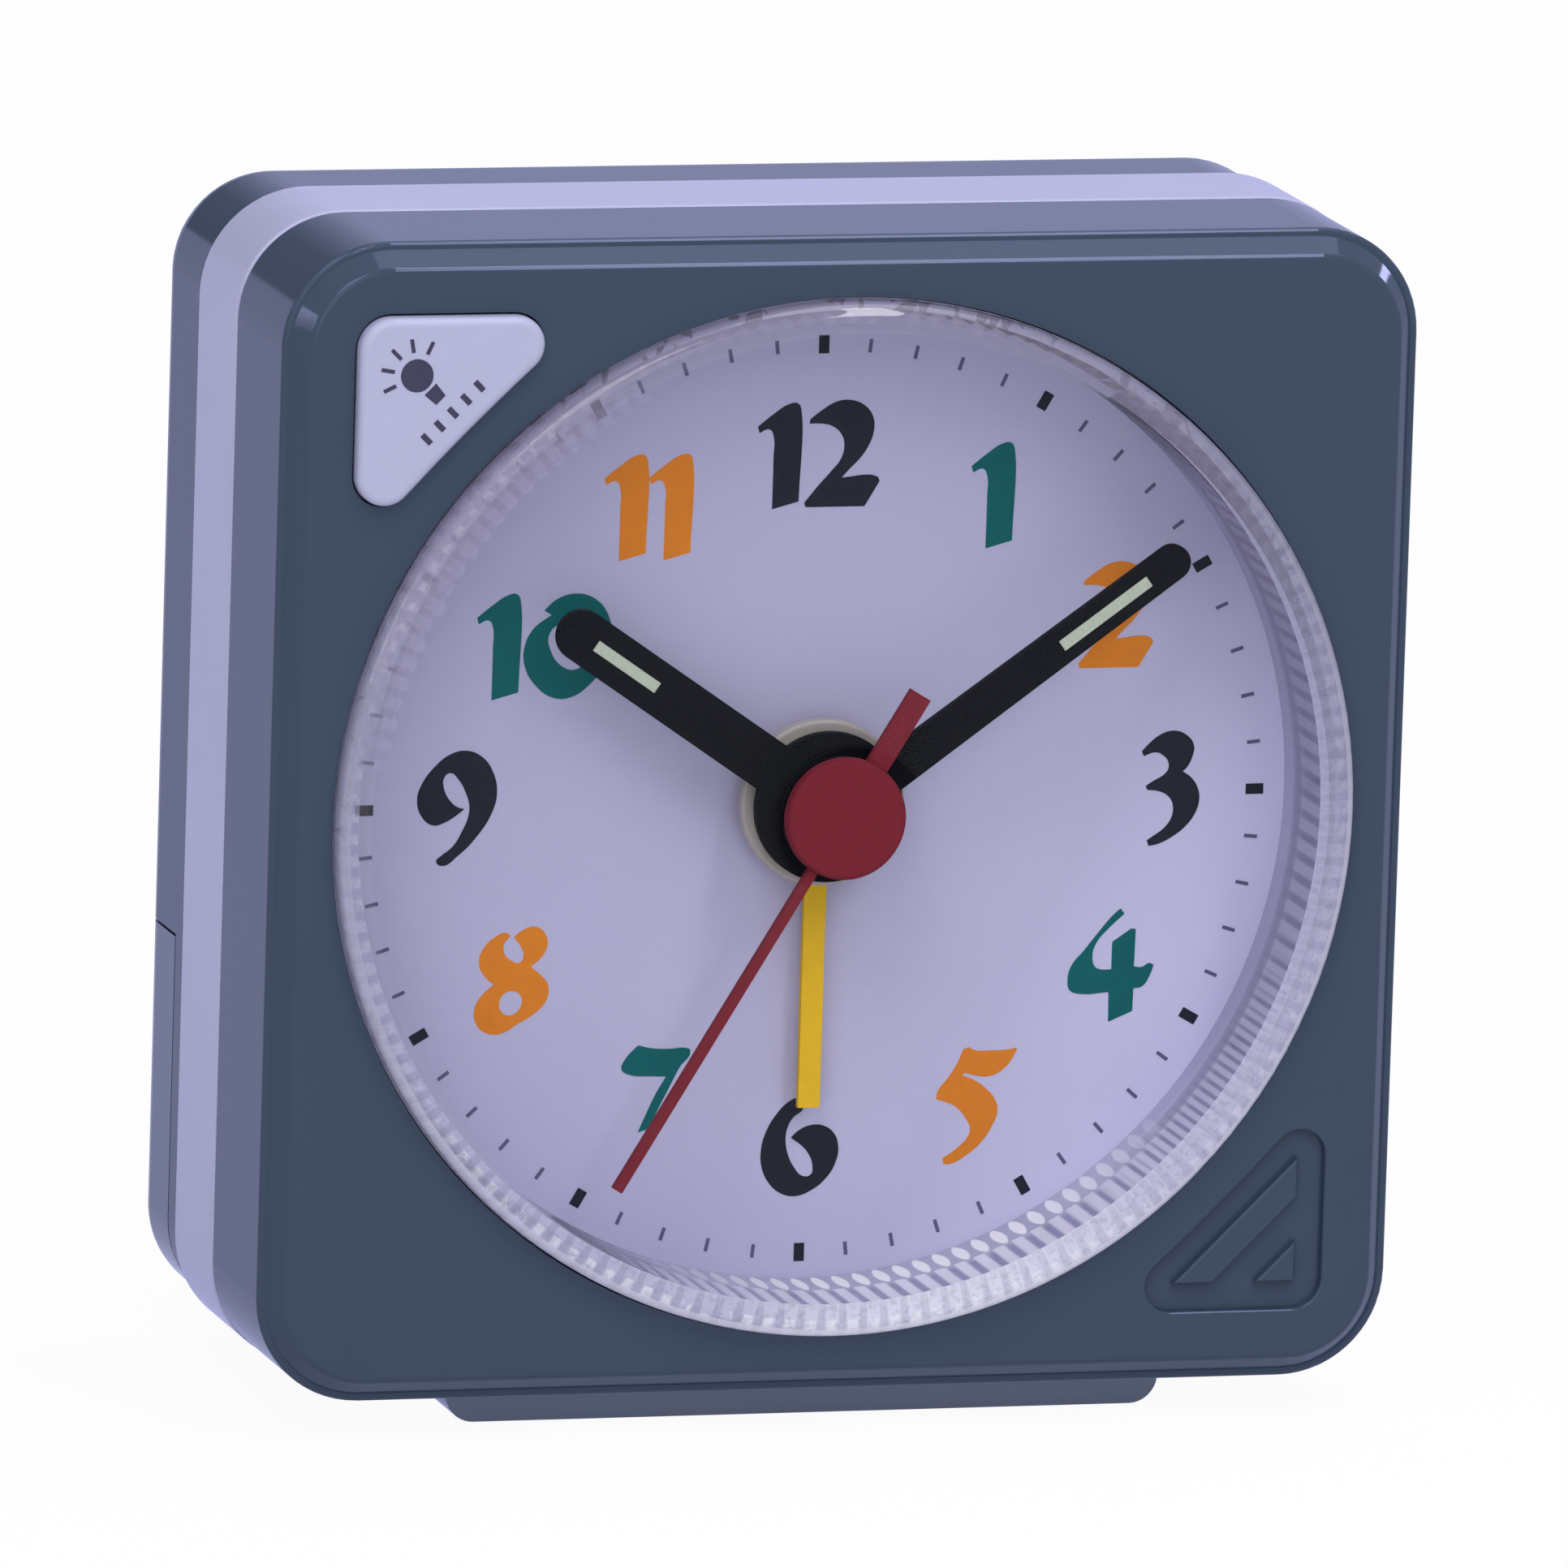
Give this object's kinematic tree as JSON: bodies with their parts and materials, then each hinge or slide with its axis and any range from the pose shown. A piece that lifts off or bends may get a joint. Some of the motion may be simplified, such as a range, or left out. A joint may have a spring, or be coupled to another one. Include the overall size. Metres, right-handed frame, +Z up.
{
  "type": "pendulette alarm clock",
  "caption": "Square desk alarm clock with a round dial under a domed fluted lens, coloured numerals, a corner snooze button and a quartz movement with setting knobs behind.",
  "frame": {"origin": "middle of the foot's resting face, on the ground under the dial", "axes": "+X to the right of someone who faces the dial, +Y from the face to the back, +Z up"},
  "size_m": [0.0602, 0.0327, 0.062],
  "materials": {
    "dark_shell": "fine satin grain",
    "pale_band": "satin",
    "clear": "clear, polished",
    "dial_print": "matt print",
    "tray": "satin",
    "button": "satin",
    "hand_black": "satin paint",
    "lume": "powdery",
    "second_red": "satin paint",
    "alarm_yellow": "satin paint",
    "collet_cream": "satin",
    "wheel_white": "moulded",
    "magnet": "sintered",
    "plate": "moulded",
    "knob": "satin",
    "steel": "zinc plated",
    "winding": "enamelled copper",
    "board": "solder mask",
    "chip": "potting",
    "buzzer": "plain",
    "cell": "shrink sleeve",
    "lamp": "clear"
  },
  "bodies": {
    "case": {"front_bezel": "dark_shell", "middle_ring": "pale_band", "rear_case": "dark_shell", "base_foot": "dark_shell", "lens": "clear", "dial": "dial_print", "dial_tray": "tray", "snooze_contact": "steel", "dial_lamp": "lamp", "movement_chassis": "plate", "movement_rear_plate": "plate", "stator": "steel", "motor_coil": "winding", "circuit_board": "board", "chip_cap": "chip", "quartz_crystal": "steel", "buzzer": "buzzer", "battery": "cell", "battery_contact_positive": "steel", "battery_contact_negative": "steel", "chassis_screws": "steel", "plate_screws": "steel", "case_screws": "steel"},
    "seconds": {"second_wheel": "wheel_white", "second_hand": "second_red"},
    "intermediate": {"intermediate_wheel": "wheel_white"},
    "rotor": {"rotor": "magnet"},
    "third": {"third_wheel": "wheel_white"},
    "centre": {"centre_wheel": "wheel_white"},
    "minutes": {"cannon_pinion": "wheel_white", "minute_hand": "hand_black", "minute_hand_lume": "lume"},
    "time_setting": {"minute_wheel": "wheel_white", "time_set_knob": "knob"},
    "hours": {"hour_wheel": "wheel_white", "hour_hand": "hand_black", "hour_hand_lume": "lume"},
    "alarm": {"alarm_wheel": "collet_cream", "alarm_hand": "alarm_yellow"},
    "alarm_setting": {"alarm_arbor": "wheel_white", "alarm_set_knob": "knob"},
    "snooze": {"snooze_button": "button"},
    "switch": {"alarm_switch": "knob"},
    "door": {"battery_door": "dark_shell"}
  },
  "joints": [
    {"name": "second_turn", "type": "hinge", "parent": "case", "child": "seconds", "pos_m": [0, 0, 0.032], "axis": [0, 1, 0], "continuous": true},
    {"name": "intermediate_turn", "type": "hinge", "parent": "case", "child": "intermediate", "pos_m": [-0.00382, 0, 0.03811], "axis": [0, 1, 0], "continuous": true},
    {"name": "rotor_turn", "type": "hinge", "parent": "case", "child": "rotor", "pos_m": [-0.00032, 0, 0.04417], "axis": [0, 1, 0], "continuous": true},
    {"name": "third_turn", "type": "hinge", "parent": "case", "child": "third", "pos_m": [0.00359, 0, 0.03875], "axis": [0, 1, 0], "continuous": true},
    {"name": "centre_turn", "type": "hinge", "parent": "case", "child": "centre", "pos_m": [0, 0, 0.032], "axis": [0, 1, 0], "continuous": true},
    {"name": "minute_turn", "type": "hinge", "parent": "case", "child": "minutes", "pos_m": [0, 0, 0.032], "axis": [0, 1, 0], "continuous": true},
    {"name": "time_knob_turn", "type": "hinge", "parent": "case", "child": "time_setting", "pos_m": [-0.008, 0, 0.032], "axis": [0, 1, 0], "continuous": true},
    {"name": "hour_turn", "type": "hinge", "parent": "case", "child": "hours", "pos_m": [0, 0, 0.032], "axis": [0, 1, 0], "continuous": true},
    {"name": "alarm_turn", "type": "hinge", "parent": "case", "child": "alarm", "pos_m": [0, 0, 0.032], "axis": [0, 1, 0], "continuous": true},
    {"name": "alarm_knob_turn", "type": "hinge", "parent": "case", "child": "alarm_setting", "pos_m": [0.008, 0, 0.032], "axis": [0, 1, 0], "continuous": true},
    {"name": "snooze_press", "type": "slide", "parent": "case", "child": "snooze", "axis": [0, 1, 0], "range_m": [0, 0.0008], "stiffness_N_per_m": 600},
    {"name": "switch_slide", "type": "slide", "parent": "case", "child": "switch", "axis": [1, 0, 0], "range_m": [0, 0.003]},
    {"name": "door_pull", "type": "slide", "parent": "case", "child": "door", "axis": [0, 1, 0], "range_m": [0, 0.02]}
  ],
  "couplings": [
    {"joint": "intermediate_turn", "follows": "second_turn", "ratio": -5},
    {"joint": "rotor_turn", "follows": "second_turn", "ratio": 30},
    {"joint": "third_turn", "follows": "second_turn", "ratio": -0.13333},
    {"joint": "centre_turn", "follows": "second_turn", "ratio": 0.016667},
    {"joint": "time_knob_turn", "follows": "minute_turn", "ratio": -0.33333},
    {"joint": "hour_turn", "follows": "minute_turn", "ratio": 0.083333},
    {"joint": "alarm_knob_turn", "follows": "alarm_turn", "ratio": -3}
  ]
}
